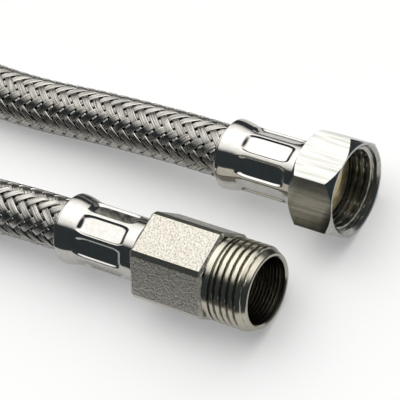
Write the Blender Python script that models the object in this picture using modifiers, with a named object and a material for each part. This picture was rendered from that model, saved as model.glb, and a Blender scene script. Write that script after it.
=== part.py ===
"""Braided flexible connector for water, G1/2 male end to G1/2 female swivel nut.

Both ends lie side by side and point along +X, and the hose runs back from them,
down to the floor and round one loose loop. Metres, +Z up, floor at z = 0.
Each end is modelled along its own +Z, with z = 0 at its mouth, and is carried by an
empty on its axis that turns +Z to the world's +X.
"""

from math import atan2, cos, pi, radians, sin, sqrt, tan

import bmesh
import bpy
import numpy as np
from mathutils import Vector

# Clearances
GAP = 0.0003  # between pieces that touch on the real connector
RUNNING_GAP = 0.0005  # round the nut where it turns
CUT_PAST = 0.001  # how far a cutter stands out of the piece that it cuts
SAME_PLACE = 0.000001

# G1/2 parallel pipe thread
PITCH = 0.001814
MALE_THREAD_D = 0.0209
THREAD_DEPTH = 0.00116
THREAD_CREST_CLEAR = 0.00008  # between the groove's cutter and the crests
ROOT_FLAT = 0.0003
FLANK_ANGLE = radians(27.5)

# Male nipple
MALE_AF = 0.021
HEX_EDGE_BAND = 0.0011
HEX_LENGTH = 0.02035
THREAD_LENGTH = 0.0117
THREAD_LEAD_IN = 0.0024
END_FACE_WALL = 0.00095  # between the end face's edge and the bore
THREAD_RELIEF = 0.0006
THREAD_RELIEF_DEPTH = 0.00025  # below the thread's root
NIPPLE_WALL = 0.00099  # between the thread's root and the bore
MALE_BORE_DEPTH = 0.0225
BORE_CHAMFER = 0.00035
DRILL_HALF_ANGLE = radians(59)

# Swivel nut
NUT_AF = 0.023
NUT_LENGTH = 0.0118
NUT_FLAT_WALL = 0.001  # between the flats and the thread's root
NUT_CHAMFER_REACH = 0.0006  # how far the chamfer's circle stands out of the flats
NUT_CHAMFER_ANGLE = radians(45)
NUT_MOUTH_REACH = 0.0005  # how far the mouth stands out of the thread's root
NUT_BACK_WALL = 0.0021

# Tails, which the hose is pushed over
SEAT_DEPTH = 0.0072
FLANGE_CLEAR = 0.00054  # round the flange inside the nut's thread
SEAT_WIDTH = 0.0024
SEAT_RECESS_SLOPE = 0.5
COLLAR_CLEAR = 0.0004  # round the collar inside the ferrule
COLLAR_INSIDE_FERRULE = 0.0015
TAIL_BORE_D = 0.0064
TAIL_STEM_WALL = 0.0005
BARB_HEIGHT = 0.0003
BARB_PITCH = 0.0044
BARB_COUNT = 4
BARB_FACE = 0.0001
BARB_TAPER = 0.7  # of the barb pitch
STEM_BEFORE_BARBS = 0.0015
TAIL_TIP = 0.0016
TAIL_TIP_WALL = 0.0002

# Crimped ferrules
FERRULE_LENGTH = 0.0233
FERRULE_WALL = 0.00045
BELL_SWELL = 0.00093  # how far the bell stands out of the crimped sleeve
CRIMP_CLEAR = 0.0004  # between the squeezed hose and the windows' floors
LIP_CLEAR = 0.00035  # between the squeezed hose and the lip
LIP_BAND = 0.0003  # straight edge before the bell rises
BELL_CREST = 0.0015
BELL_STATIONS = (0.35, 0.65, 1)  # of the way from the band to the crest
WINDOW_DEPTH = 0.0008
WINDOW_START = 0.0067
WINDOW_LENGTH = 0.0136
WINDOW_END_SLOPE = 0.0012
WINDOW_COUNT = 8
RIDGE_ANGLE = radians(5)
WINDOW_SIDE_ANGLE = radians(5)
MALE_CRIMP_TURN = radians(10)
FEMALE_CRIMP_TURN = radians(-1.5)
MALE_FERRULE_GAP = 0.00135  # between the hex and the ferrule

# Hose
HOSE_D = 0.0134
BRAID_WALL = 0.0006
CRIMP_SQUEEZE = 0.0005
LIP_SQUEEZE = 0.00035
HOSE_SIDES_RESOLUTION = 4
HOSE_STEP = 0.014
HOSE_STRAIGHT = 0.006  # how far inside the lip the free curve starts
HOSE_LIP_REACH = 0.004  # kept free of curve points outside the lip
SPLINE_SAMPLES = 50  # in each span of the route
REST_GAP = 0.00005  # under the resting hose

# Where the two ends lie
AXIS_SPREAD = 0.0312
NUT_LEAD = 0.0080  # how far the nut's mouth is ahead of the male end's

ROUND_STEPS = 32
THREAD_STEPS = 24

# Worked out from the sizes above
FEMALE_THREAD_D = NUT_AF - 2 * NUT_FLAT_WALL
NUT_CHAMFER_D = NUT_AF + 2 * NUT_CHAMFER_REACH
NUT_MOUTH_D = FEMALE_THREAD_D + 2 * NUT_MOUTH_REACH
FLANGE_D = FEMALE_THREAD_D - 2 * (THREAD_DEPTH + FLANGE_CLEAR)
SEAT_RECESS_D = FLANGE_D - 2 * SEAT_WIDTH
MALE_BORE_D = MALE_THREAD_D - 2 * (THREAD_DEPTH + NIPPLE_WALL)
END_FACE_D = MALE_BORE_D + 2 * END_FACE_WALL
CRIMP_D = HOSE_D + 2 * (WINDOW_DEPTH + FERRULE_WALL + CRIMP_CLEAR - CRIMP_SQUEEZE)
BELL_D = CRIMP_D + 2 * BELL_SWELL
LIP_D = HOSE_D + 2 * (FERRULE_WALL + LIP_CLEAR - LIP_SQUEEZE)
COLLAR_D = CRIMP_D - 2 * (FERRULE_WALL + COLLAR_CLEAR)
TAIL_STEM_D = TAIL_BORE_D + 2 * TAIL_STEM_WALL
BARB_D = TAIL_STEM_D + 2 * BARB_HEIGHT
LINER_BORE_D = BARB_D + 2 * GAP
NUT_CORNER_R = NUT_AF / sqrt(3)
HEX_CORNER_R = MALE_AF / sqrt(3) - HEX_EDGE_BAND / 2 * tan(radians(30))
MALE_FERRULE_END = -THREAD_LENGTH - HEX_LENGTH - MALE_FERRULE_GAP
FEMALE_FERRULE_END = -NUT_LENGTH - RUNNING_GAP
MALE_LIP = MALE_FERRULE_END - FERRULE_LENGTH
FEMALE_LIP = FEMALE_FERRULE_END - FERRULE_LENGTH
ENDS_LENGTH = max(0, NUT_LEAD) + max(-MALE_LIP, -FEMALE_LIP - NUT_LEAD)
MALE_X = ENDS_LENGTH / 2 - max(0, NUT_LEAD)
FEMALE_X = MALE_X + NUT_LEAD
MALE_Y = -(AXIS_SPREAD + NUT_CORNER_R - HEX_CORNER_R) / 2
FEMALE_Y = MALE_Y + AXIS_SPREAD
MALE_Z = MALE_AF / 2
FEMALE_Z = NUT_AF / 2
HOSE_REST_Z = HOSE_D / 2 + REST_GAP

# The loose part of the hose, from the female lip to the male lip: x, y and height above
# the place where the hose rests. The two runs come down to the floor as they leave the
# fittings, and no bend of the loop is tighter than four hose diameters.
FREE_ROUTE = (
    (-0.0163, 0.0150, 0.0045),
    (-0.0313, 0.0153, 0.0031),
    (-0.0463, 0.0154, 0.0014),
    (-0.0613, 0.0150, 0.0002),
    (-0.0777, 0.0152, 0.0),
    (-0.0968, 0.0180, 0.0),
    (-0.1142, 0.0265, 0.0),
    (-0.1291, 0.0388, 0.0),
    (-0.1450, 0.0500, 0.0),
    (-0.1634, 0.0557, 0.0),
    (-0.1827, 0.0549, 0.0),
    (-0.2006, 0.0477, 0.0),
    (-0.2151, 0.0350, 0.0),
    (-0.2246, 0.0181, 0.0),
    (-0.2278, -0.0009, 0.0),
    (-0.2246, -0.0198, 0.0),
    (-0.2151, -0.0367, 0.0),
    (-0.2006, -0.0494, 0.0),
    (-0.1827, -0.0566, 0.0),
    (-0.1634, -0.0574, 0.0),
    (-0.1450, -0.0517, 0.0),
    (-0.1291, -0.0405, 0.0),
    (-0.1142, -0.0282, 0.0),
    (-0.0968, -0.0197, 0.0),
    (-0.0777, -0.0169, 0.0003),
    (-0.0613, -0.0166, 0.0017),
    (-0.0463, -0.0164, 0.0032),
)

parts = bpy.data.collections.new("stainless_flexible_connector")
cutters = bpy.data.collections.new("cutters")


def clear_scene():
    """Start from nothing, with one collection for the parts and one for the cutters."""
    for obj in list(bpy.data.objects):
        bpy.data.objects.remove(obj, do_unlink=True)
    bpy.context.scene.collection.children.link(parts)
    bpy.context.scene.collection.children.link(cutters)


def make_material(name, colour, metallic, roughness):
    """A Principled material; colour is linear red, green and blue."""
    material = bpy.data.materials.new(name)
    material.use_nodes = True
    shader = material.node_tree.nodes["Principled BSDF"]
    shader.inputs["Base Color"].default_value = (*colour, 1)
    shader.inputs["Metallic"].default_value = metallic
    shader.inputs["Roughness"].default_value = roughness
    material.diffuse_color = (*colour, 1)
    return material


def add_object(name, data, collection=parts, parent=None):
    obj = bpy.data.objects.new(name, data)
    collection.objects.link(obj)
    obj.parent = parent
    return obj


def add_axis(name, x, y, z):
    """An empty on a fitting's axis that turns the fitting's own +Z to the world's +X."""
    axis = add_object(name, None)
    axis.empty_display_size = 0.01
    axis.location = (x, y, z)
    axis.rotation_euler = (0, pi / 2, 0)
    return axis


def mesh_object(name, bm, collection=parts, parent=None):
    mesh = bpy.data.meshes.new(name)
    bm.to_mesh(mesh)
    bm.free()
    return add_object(name, mesh, collection, parent)


def profile_object(name, profile, closed, collection, parent):
    """A line of (radius, z) points in the XZ plane, for a Screw modifier to turn."""
    bm = bmesh.new()
    points = [bm.verts.new((radius, 0, z)) for radius, z in profile]
    for first, second in zip(points, points[1:]):
        bm.edges.new((first, second))
    if closed:
        bm.edges.new((points[-1], points[0]))
    return mesh_object(name, bm, collection, parent)


def turned(name, profile, collection=parts, parent=None, closed=False, steps=ROUND_STEPS):
    """A solid of revolution; the profile runs down its outer side, top to bottom."""
    obj = profile_object(name, profile, closed, collection, parent)
    screw = obj.modifiers.new("Turn", "SCREW")
    screw.steps = steps
    screw.render_steps = steps
    screw.use_merge_vertices = True
    screw.merge_threshold = 0.00001
    return obj


def hexagon(name, across_flats, top, bottom, edge_band=0.0, parent=None):
    """A hexagonal bar along Z with a flat toward +X and, if asked, narrow bands for edges."""
    corner = across_flats / sqrt(3)
    curve = bpy.data.curves.new(name, "CURVE")
    curve.dimensions = "2D"
    curve.fill_mode = "BOTH"
    curve.extrude = (top - bottom) / 2
    half_band = edge_band / 2
    outline = []
    for i in range(6):
        angle = radians(30 + 60 * i)
        out = Vector((cos(angle), sin(angle), 0))
        side = Vector((-sin(angle), cos(angle), 0))
        if half_band == 0:
            outline.append(out * corner)
        else:
            near = out * (corner - half_band * tan(radians(30)))
            outline += [near - side * half_band, near + side * half_band]
    spline = curve.splines.new("POLY")
    spline.points.add(len(outline) - 1)
    spline.use_cyclic_u = True
    for point, place in zip(spline.points, outline):
        point.co = (place.x, place.y, 0, 1)
    bar = as_mesh(add_object(name, curve, parts, parent))
    bar.location = (0, 0, (top + bottom) / 2)
    return bar


def as_mesh(obj):
    """Make a curve object a mesh object with welded caps, under the same name and place."""
    name = obj.name
    collection = obj.users_collection[0]
    parent = obj.parent
    place = obj.matrix_basis.copy()
    evaluated = obj.evaluated_get(bpy.context.evaluated_depsgraph_get())
    mesh = bpy.data.meshes.new_from_object(evaluated)
    bpy.data.objects.remove(obj, do_unlink=True)
    bm = bmesh.new()
    bm.from_mesh(mesh)
    bmesh.ops.remove_doubles(bm, verts=bm.verts, dist=SAME_PLACE)
    bmesh.ops.recalc_face_normals(bm, faces=bm.faces)
    bm.to_mesh(mesh)
    bm.free()
    mesh_obj = add_object(name, mesh, collection, parent)
    mesh_obj.matrix_basis = place
    return mesh_obj


def combine(obj, other, operation):
    """Join, cut or keep what is common, with the other object left as a hidden guide."""
    boolean = obj.modifiers.new(operation.title(), "BOOLEAN")
    boolean.operation = operation
    boolean.solver = "EXACT"
    boolean.object = other
    for collection in list(other.users_collection):
        collection.objects.unlink(other)
    cutters.objects.link(other)
    other.hide_render = True
    other.display_type = "WIRE"


def finish(obj, material):
    """Give the piece its one material, and its colour in a plain viewport."""
    obj.data.materials.clear()
    obj.data.materials.append(material)
    obj.color = material.diffuse_color
    return obj


def thread_groove(name, parent, outer_r, inner_r, top, bottom, inside):
    """A helical cutter of the thread's groove; inside is True for a nut's thread.

    Its wide side stands a little clear of the crests, and the turns don't touch.
    """
    clear = THREAD_CREST_CLEAR
    rise = outer_r - inner_r
    wide = ROOT_FLAT / 2 + rise * tan(FLANK_ANGLE)
    past = wide + clear * tan(FLANK_ANGLE)
    if inside:
        section = ((inner_r - clear, past), (outer_r, ROOT_FLAT / 2))
    else:
        section = ((outer_r + clear, past), (inner_r, ROOT_FLAT / 2))
    (open_r, open_half), (root_r, root_half) = section
    corners = ((open_r, open_half), (root_r, root_half), (root_r, -root_half), (open_r, -open_half))
    turns = (top - bottom) / PITCH
    count = int(turns * THREAD_STEPS)
    bm = bmesh.new()
    face = bm.faces.new([bm.verts.new((radius, 0, bottom + half)) for radius, half in corners])
    bmesh.ops.spin(
        bm,
        geom=[face, *face.edges, *face.verts],
        axis=(0, 0, 1),
        angle=count * 2 * pi / THREAD_STEPS,
        steps=count,
        dvec=(0, 0, PITCH / THREAD_STEPS),
    )
    bmesh.ops.recalc_face_normals(bm, faces=bm.faces)
    return mesh_object(name, bm, cutters, parent)


def barbed_outline(shoulder_z):
    """(radius, z) points down the barbed stem, from its shoulder to its tip."""
    points = [(TAIL_STEM_D / 2, shoulder_z)]
    first = shoulder_z - STEM_BEFORE_BARBS
    for i in range(BARB_COUNT):
        top = first - i * BARB_PITCH
        points += [(TAIL_STEM_D / 2, top), (BARB_D / 2, top - BARB_FACE)]
        points.append((TAIL_STEM_D / 2, top - BARB_FACE - BARB_PITCH * BARB_TAPER))
    tip = first - BARB_COUNT * BARB_PITCH - TAIL_TIP
    points += [(TAIL_STEM_D / 2, tip + TAIL_TIP / 2), (TAIL_BORE_D / 2 + TAIL_TIP_WALL, tip)]
    return points, tip


def build_male_nipple(axis, material):
    """Hexagon, G1/2 thread, wide bore and barbed tail, machined from one bar."""
    hex_top = -THREAD_LENGTH
    hex_bottom = hex_top - HEX_LENGTH
    shoulder = MALE_FERRULE_END - COLLAR_INSIDE_FERRULE
    thread_r = MALE_THREAD_D / 2
    core_r = thread_r - THREAD_DEPTH
    relief_r = core_r - THREAD_RELIEF_DEPTH
    relief_top = hex_top + THREAD_RELIEF
    groove_end = hex_top + ROOT_FLAT / 2 + (THREAD_DEPTH + 2 * THREAD_CREST_CLEAR) * tan(FLANK_ANGLE)
    stem, tip = barbed_outline(shoulder)
    outer = [
        (0, 0),
        (END_FACE_D / 2, 0),
        (thread_r, -THREAD_LEAD_IN),
        (thread_r, relief_top),
        (relief_r, relief_top),
        (relief_r, hex_top - CUT_PAST),
        (COLLAR_D / 2, hex_bottom + CUT_PAST),
        (COLLAR_D / 2, shoulder),
        *stem,
        (0, tip),
    ]
    bore_r = MALE_BORE_D / 2
    cone = (bore_r - TAIL_BORE_D / 2) / tan(DRILL_HALF_ANGLE)
    bore = [
        (0, CUT_PAST),
        (bore_r + BORE_CHAMFER + CUT_PAST, CUT_PAST),
        (bore_r, -BORE_CHAMFER),
        (bore_r, -MALE_BORE_DEPTH),
        (TAIL_BORE_D / 2, -MALE_BORE_DEPTH - cone),
        (TAIL_BORE_D / 2, tip - CUT_PAST),
        (0, tip - CUT_PAST),
    ]
    nipple = hexagon("male_nipple", MALE_AF, hex_top, hex_bottom, HEX_EDGE_BAND, axis)
    combine(nipple, turned("nipple_turned", outer, parent=axis), "UNION")
    groove = thread_groove("nipple_groove", axis, thread_r, core_r, PITCH, groove_end, False)
    combine(nipple, groove, "DIFFERENCE")
    combine(nipple, turned("nipple_bore", bore, parent=axis), "DIFFERENCE")
    return finish(nipple, material)


def build_swivel_nut(axis, material):
    """Hexagon nut with chamfered corners, a threaded mouth and a back wall with a hole."""
    chamfer_r = NUT_CHAMFER_D / 2
    wide_r = NUT_CORNER_R + CUT_PAST
    fall = (wide_r - chamfer_r) * tan(NUT_CHAMFER_ANGLE)
    narrow_r = chamfer_r - CUT_PAST / tan(NUT_CHAMFER_ANGLE)
    envelope = [
        (0, CUT_PAST),
        (narrow_r, CUT_PAST),
        (wide_r, -fall),
        (wide_r, -NUT_LENGTH + fall),
        (narrow_r, -NUT_LENGTH - CUT_PAST),
        (0, -NUT_LENGTH - CUT_PAST),
    ]
    thread_r = FEMALE_THREAD_D / 2
    crest_r = thread_r - THREAD_DEPTH
    mouth_r = NUT_MOUTH_D / 2
    hole_r = COLLAR_D / 2 + RUNNING_GAP
    wall_top = -NUT_LENGTH + NUT_BACK_WALL
    bore = [
        (0, CUT_PAST),
        (mouth_r + CUT_PAST, CUT_PAST),
        (crest_r, -(mouth_r - crest_r)),
        (crest_r, wall_top),
        (hole_r, wall_top),
        (hole_r, -NUT_LENGTH - CUT_PAST),
        (0, -NUT_LENGTH - CUT_PAST),
    ]
    nut = hexagon("swivel_nut", NUT_AF, 0, -NUT_LENGTH, parent=axis)
    combine(nut, turned("nut_envelope", envelope, parent=axis), "INTERSECT")
    combine(nut, turned("nut_bore", bore, parent=axis), "DIFFERENCE")
    groove = thread_groove("nut_groove", axis, thread_r, crest_r, PITCH, -SEAT_DEPTH + PITCH / 2, True)
    combine(nut, groove, "DIFFERENCE")
    return finish(nut, material)


def build_female_tail(axis, material):
    """Brass tail: the flange that the nut pulls on, its collar and the barbed stem."""
    seat = -SEAT_DEPTH
    flange_back = -NUT_LENGTH + NUT_BACK_WALL + GAP
    shoulder = FEMALE_FERRULE_END - COLLAR_INSIDE_FERRULE
    stem, tip = barbed_outline(shoulder)
    recess_r = SEAT_RECESS_D / 2
    bore_r = TAIL_BORE_D / 2
    profile = [
        (recess_r, seat),
        (FLANGE_D / 2, seat),
        (FLANGE_D / 2, flange_back),
        (COLLAR_D / 2, flange_back),
        (COLLAR_D / 2, shoulder),
        *stem,
        (bore_r, tip),
        (bore_r, seat - (recess_r - bore_r) * SEAT_RECESS_SLOPE),
    ]
    tail = turned("female_tail", profile, parent=axis, closed=True)
    return finish(tail, material)


def ferrule_radius(along):
    """Outer radius of the bell and of the ridges, at a distance from the lip."""
    bell_end = WINDOW_START + WINDOW_END_SLOPE
    if along < BELL_CREST:
        first_r, last_r = LIP_D / 2, BELL_D / 2
        share = (along - LIP_BAND) / (BELL_CREST - LIP_BAND)
    else:
        first_r, last_r = BELL_D / 2, CRIMP_D / 2
        share = (along - BELL_CREST) / (bell_end - BELL_CREST)
    swell = (1 - cos(min(max(share, 0), 1) * pi)) / 2
    return first_r + (last_r - first_r) * swell


def build_ferrule(name, axis, end_z, crimp_turn, material):
    """Thin pressed sleeve: a bell over the hose, eight crimped windows and a plain rim."""
    lip_z = end_z - FERRULE_LENGTH
    window_end = WINDOW_START + WINDOW_LENGTH
    stations = [0, LIP_BAND]
    stations += [LIP_BAND + (BELL_CREST - LIP_BAND) * share for share in BELL_STATIONS]
    stations += [(BELL_CREST + WINDOW_START) / 2, WINDOW_START, WINDOW_START + WINDOW_END_SLOPE]
    stations += [window_end - WINDOW_END_SLOPE, window_end, FERRULE_LENGTH]
    floor_stations = (WINDOW_START + WINDOW_END_SLOPE, window_end - WINDOW_END_SLOPE)
    pitch = 2 * pi / WINDOW_COUNT
    side = RIDGE_ANGLE / 2
    floor = side + WINDOW_SIDE_ANGLE
    turns = (-side, side, floor, pitch / 2, pitch - floor)
    profile = [(ferrule_radius(s), lip_z + s) for s in reversed(stations)]
    obj = turned(name, profile, parent=axis, steps=WINDOW_COUNT * len(turns))
    sleeve = bpy.data.meshes.new_from_object(
        obj.evaluated_get(bpy.context.evaluated_depsgraph_get())
    )
    bpy.data.objects.remove(obj, do_unlink=True)
    step = pitch / len(turns)
    for vert in sleeve.vertices:
        number = round((atan2(vert.co.y, vert.co.x) % (2 * pi)) / step)
        window, place = divmod(number, len(turns))
        angle = crimp_turn + pitch / 2 + window * pitch + turns[place]
        radius = sqrt(vert.co.x**2 + vert.co.y**2)
        along = vert.co.z - lip_z
        in_window = floor_stations[0] - SAME_PLACE <= along <= floor_stations[1] + SAME_PLACE
        if place >= 2 and in_window:
            radius -= WINDOW_DEPTH
        vert.co.x = radius * cos(angle)
        vert.co.y = radius * sin(angle)
    ferrule = add_object(name, sleeve, parts, axis)
    wall = ferrule.modifiers.new("Wall", "SOLIDIFY")
    wall.thickness = FERRULE_WALL
    wall.offset = -1
    wall.use_even_offset = True
    return finish(ferrule, material)


def hose_ends():
    """Where the hose ends inside the ferrules, and where it passes the lips."""
    female_end = Vector((FEMALE_X + FEMALE_FERRULE_END - COLLAR_INSIDE_FERRULE - GAP, FEMALE_Y, FEMALE_Z))
    male_end = Vector((MALE_X + MALE_FERRULE_END - COLLAR_INSIDE_FERRULE - GAP, MALE_Y, MALE_Z))
    female_lip = Vector((FEMALE_X + FEMALE_LIP, FEMALE_Y, FEMALE_Z))
    male_lip = Vector((MALE_X + MALE_LIP, MALE_Y, MALE_Z))
    return female_end, female_lip, male_lip, male_end


def smooth_line(points, step):
    """Points at even steps along the natural cubic spline through the given points."""
    place = np.array(points, dtype=float)
    gaps = np.linalg.norm(np.diff(place, axis=0), axis=1)
    count = len(place)
    system = np.eye(count)
    known = np.zeros((count, 3))
    for i in range(1, count - 1):
        system[i, i - 1 : i + 2] = gaps[i - 1], 2 * (gaps[i - 1] + gaps[i]), gaps[i]
        slope_after = (place[i + 1] - place[i]) / gaps[i]
        slope_before = (place[i] - place[i - 1]) / gaps[i - 1]
        known[i] = 6 * (slope_after - slope_before)
    bend = np.linalg.solve(system, known)
    fine = []
    for i in range(count - 1):
        for share in np.arange(SPLINE_SAMPLES) / SPLINE_SAMPLES:
            u = share * gaps[i]
            v = gaps[i] - u
            line = place[i] * v / gaps[i] + place[i + 1] * u / gaps[i]
            curl = bend[i] * (v**3 / gaps[i] - gaps[i] * v) + bend[i + 1] * (u**3 / gaps[i] - gaps[i] * u)
            fine.append(line + curl / 6)
    fine.append(place[-1])
    fine = np.array(fine)
    run = np.concatenate([[0], np.cumsum(np.linalg.norm(np.diff(fine, axis=0), axis=1))])
    even = np.linspace(0, run[-1], max(2, round(run[-1] / step) + 1))
    return [Vector([np.interp(s, run, fine[:, k]) for k in range(3)]) for s in even]


def hose_line():
    """The hose's centreline with the squeeze at each point: straight in both ferrules."""
    female_end, female_lip, male_lip, male_end = hose_ends()
    ahead = Vector((HOSE_STRAIGHT, 0, 0))
    route = [female_lip + ahead, female_lip]
    route += [Vector((x, y, HOSE_REST_Z + z)) for x, y, z in FREE_ROUTE]
    route += [male_lip, male_lip + ahead]
    middle = smooth_line(route, HOSE_STEP)
    line = [(female_end, CRIMP_SQUEEZE), (female_lip + 2 * ahead, CRIMP_SQUEEZE)]
    line += [(middle[0], CRIMP_SQUEEZE)]
    line += [(female_lip, LIP_SQUEEZE)]
    free = [p for p in middle if p.x < female_lip.x - HOSE_LIP_REACH]
    free = [p for p in free if p.y > 0 or p.x < male_lip.x - HOSE_LIP_REACH]
    line += [(p, 0.0) for p in free]
    line += [(male_lip, LIP_SQUEEZE)]
    line += [(middle[-1], CRIMP_SQUEEZE)]
    line += [(male_lip + 2 * ahead, CRIMP_SQUEEZE), (male_end, CRIMP_SQUEEZE)]
    return line


def swept(name, line, radius, squeezed, past=0.0):
    """A round bar along the hose's line; past lengthens both ends of a cutter."""
    curve = bpy.data.curves.new(name, "CURVE")
    curve.dimensions = "3D"
    curve.bevel_depth = radius
    curve.bevel_resolution = HOSE_SIDES_RESOLUTION
    curve.use_fill_caps = True
    spline = curve.splines.new("POLY")
    spline.points.add(len(line) - 1)
    for i, (place, squeeze) in enumerate(line):
        along = past if i in (0, len(line) - 1) else 0.0
        spline.points[i].co = (place.x + along, place.y, place.z, 1)
        spline.points[i].radius = 1 - squeeze / radius if squeezed else 1
    return as_mesh(add_object(name, curve))


def build_hose_layer(name, line, outer_r, inner_r, inner_squeezed, material):
    """One tube of the hose: the outer sweep with the inner sweep taken out of it."""
    layer = swept(name, line, outer_r, True)
    combine(layer, swept(name + "_bore", line, inner_r, inner_squeezed, CUT_PAST), "DIFFERENCE")
    return finish(layer, material)


def main():
    clear_scene()
    steel = make_material("polished_stainless", (0.60, 0.60, 0.60), 1.0, 0.12)
    nickel = make_material("nickel_plated_brass", (0.62, 0.60, 0.56), 1.0, 0.28)
    brass = make_material("bare_brass", (0.60, 0.47, 0.22), 1.0, 0.30)
    rubber = make_material("black_rubber", (0.02, 0.02, 0.02), 0.0, 0.6)
    wire = make_material("stainless_wire", (0.48, 0.46, 0.43), 1.0, 0.25)

    male_axis = add_axis("male_axis", MALE_X, MALE_Y, MALE_Z)
    female_axis = add_axis("female_axis", FEMALE_X, FEMALE_Y, FEMALE_Z)
    bpy.context.view_layer.update()

    build_male_nipple(male_axis, nickel)
    build_ferrule("male_ferrule", male_axis, MALE_FERRULE_END, MALE_CRIMP_TURN, steel)
    build_swivel_nut(female_axis, nickel)
    build_female_tail(female_axis, brass)
    build_ferrule("female_ferrule", female_axis, FEMALE_FERRULE_END, FEMALE_CRIMP_TURN, steel)

    line = hose_line()
    hose_r = HOSE_D / 2
    liner_r = hose_r - BRAID_WALL - GAP
    build_hose_layer("wire_braid", line, hose_r, hose_r - BRAID_WALL, True, wire)
    build_hose_layer("rubber_liner", line, liner_r, LINER_BORE_D / 2, False, rubber)


main()
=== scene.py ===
# %% [markdown]
# # A braided water connector
# A flexible connector joins a tap to a supply valve. A rubber hose carries the water, a woven
# stainless braid keeps it from bursting, and a pressed ferrule crimps both on to each end. One
# end is a hexagon nipple with a G1/2 thread, and the other has a swivel nut over a brass tail.
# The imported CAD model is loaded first, as a fixed frame in metres, and each part of it is then
# replaced by a finer piece that rides on the same body.

# %% Load the frame
from math import atan2, cos, pi, radians, sin, sqrt, tan

import bpy
import numpy as np
from mathutils import Matrix, Vector


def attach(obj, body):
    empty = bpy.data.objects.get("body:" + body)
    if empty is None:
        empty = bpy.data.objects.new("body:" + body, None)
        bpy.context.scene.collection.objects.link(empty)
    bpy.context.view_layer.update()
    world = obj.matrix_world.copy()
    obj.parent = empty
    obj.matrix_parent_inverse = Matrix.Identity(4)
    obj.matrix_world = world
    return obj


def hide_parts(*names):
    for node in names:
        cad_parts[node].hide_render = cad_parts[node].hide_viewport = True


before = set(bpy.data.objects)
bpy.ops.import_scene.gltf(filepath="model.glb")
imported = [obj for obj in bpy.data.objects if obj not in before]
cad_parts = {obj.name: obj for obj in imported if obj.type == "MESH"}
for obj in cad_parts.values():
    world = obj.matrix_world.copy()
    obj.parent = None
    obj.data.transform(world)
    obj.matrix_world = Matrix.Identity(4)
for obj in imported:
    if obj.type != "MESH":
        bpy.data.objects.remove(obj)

bpy.context.scene.view_settings.view_transform = "Standard"
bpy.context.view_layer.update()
MM = 0.001
print("CAD nodes:", sorted(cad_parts))

# %% [markdown]
# ## The camera
# A product photographer stands well back with a long lens, so that the hexagons keep their
# shape. The camera looks down at 52 degrees and is rolled, which makes both ends run down to
# the right. Its place was worked out from the corners of the hexagons and the round mouths.

# %% Camera
AZIMUTH = radians(36.92)
ELEVATION = radians(51.94)
ROLL = radians(-28.97)
DISTANCE = 0.601
TARGET = Vector((-0.00455, 0.0011, 0.010))


def place_camera():
    """A long lens on the fitted sight line, with the roll about that line."""
    level = Vector((cos(AZIMUTH), -sin(AZIMUTH), 0))
    toward = level * cos(ELEVATION) + Vector((0, 0, sin(ELEVATION)))
    right = Vector((sin(AZIMUTH), cos(AZIMUTH), 0))
    up = toward.cross(right)
    rolled_right = right * cos(ROLL) + up * sin(ROLL)
    rolled_up = toward.cross(rolled_right)
    data = bpy.data.cameras.new("camera")
    data.sensor_width = 36
    data.lens = 225.26
    data.clip_end = 20
    camera = bpy.data.objects.new("camera", data)
    bpy.context.scene.collection.objects.link(camera)
    axes = Matrix((rolled_right, rolled_up, toward)).transposed().to_4x4()
    camera.matrix_world = Matrix.Translation(TARGET + toward * DISTANCE) @ axes
    bpy.context.scene.camera = camera


place_camera()

# %% [markdown]
# ## The hose's middle line
# The two runs of hose leave the ferrules straight, come down to the table and join in one loose
# loop. Listed points give the route, and a natural cubic spline, the curve that a thin
# bent rod takes, makes it smooth. The weave needs to know at each place which way is round the
# hose, so a side direction is carried along the line without twisting.

# %% The hose's middle line
MALE_MOUTH = Vector((0.02435, -0.016336, 0.0105))
FEMALE_MOUTH = Vector((0.03235, 0.014864, 0.0115))
MALE_FERRULE_END = MALE_MOUTH.x - 33.4 * MM  # where the hexagon begins
FEMALE_FERRULE_END = FEMALE_MOUTH.x - 12.3 * MM
FERRULE_LENGTH = 23.3 * MM
HOSE_R = 6.7 * MM
REST_Z = HOSE_R + 0.05 * MM  # the middle line's height where the hose lies on the table
INSIDE_LIP = 6 * MM  # how far the braid goes on inside each ferrule
LINE_STEP = 0.5 * MM
FREE_ROUTE = (  # x, y and the height above REST_Z, from the nut's end round to the male end
    (-0.0163, 0.0150, 0.0045),
    (-0.0313, 0.0153, 0.0031),
    (-0.0463, 0.0154, 0.0014),
    (-0.0613, 0.0150, 0.0002),
    (-0.0777, 0.0152, 0.0),
    (-0.0968, 0.0180, 0.0),
    (-0.1142, 0.0265, 0.0),
    (-0.1291, 0.0388, 0.0),
    (-0.1450, 0.0500, 0.0),
    (-0.1634, 0.0557, 0.0),
    (-0.1827, 0.0549, 0.0),
    (-0.2006, 0.0477, 0.0),
    (-0.2151, 0.0350, 0.0),
    (-0.2246, 0.0181, 0.0),
    (-0.2278, -0.0009, 0.0),
    (-0.2246, -0.0198, 0.0),
    (-0.2151, -0.0367, 0.0),
    (-0.2006, -0.0494, 0.0),
    (-0.1827, -0.0566, 0.0),
    (-0.1634, -0.0574, 0.0),
    (-0.1450, -0.0517, 0.0),
    (-0.1291, -0.0405, 0.0),
    (-0.1142, -0.0282, 0.0),
    (-0.0968, -0.0197, 0.0),
    (-0.0777, -0.0169, 0.0003),
    (-0.0613, -0.0166, 0.0017),
    (-0.0463, -0.0164, 0.0032),
)
female_lip = Vector((FEMALE_FERRULE_END - FERRULE_LENGTH, FEMALE_MOUTH.y, FEMALE_MOUTH.z))
male_lip = Vector((MALE_FERRULE_END - FERRULE_LENGTH, MALE_MOUTH.y, MALE_MOUTH.z))


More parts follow.
